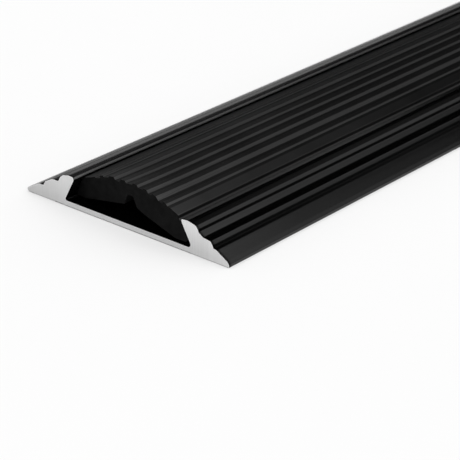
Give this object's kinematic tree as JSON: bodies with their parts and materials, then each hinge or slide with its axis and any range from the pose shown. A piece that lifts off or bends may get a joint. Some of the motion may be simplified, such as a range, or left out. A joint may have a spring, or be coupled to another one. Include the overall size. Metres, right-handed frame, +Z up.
{
  "type": "threshold strip",
  "caption": "Low door threshold strip: a black anodised aluminium carrier with stepped ramps, and a ribbed rubber insert that covers its countersunk floor screws.",
  "frame": {"origin": "at floor level on the screw line, half way along the strip; the underside of the web is 0.15 mm above it", "axes": "+X across the strip, +Y along it away from the end whose insert is trimmed short, +Z up from the floor"},
  "size_m": [0.0699, 0.914, 0.0357],
  "materials": {
    "carrier_anodised": "satin black anodised extrusion with fine lines along its length; the two sawn ends are bare silver metal",
    "insert_rubber": "matt black extruded rubber with a faint sheen on the ribs",
    "screw_zinc": "bright zinc plated"
  },
  "bodies": {
    "carrier": {"carrier_extrusion": "carrier_anodised", "floor_screw_1": "screw_zinc", "floor_screw_2": "screw_zinc", "floor_screw_3": "screw_zinc", "floor_screw_4": "screw_zinc", "floor_screw_5": "screw_zinc", "floor_screw_6": "screw_zinc"},
    "insert": {"rubber_insert": "insert_rubber"}
  },
  "joints": [
    {"name": "insert_slide", "type": "slide", "parent": "carrier", "child": "insert", "axis": [0, 1, 0], "range_m": [0, 0.92]}
  ]
}
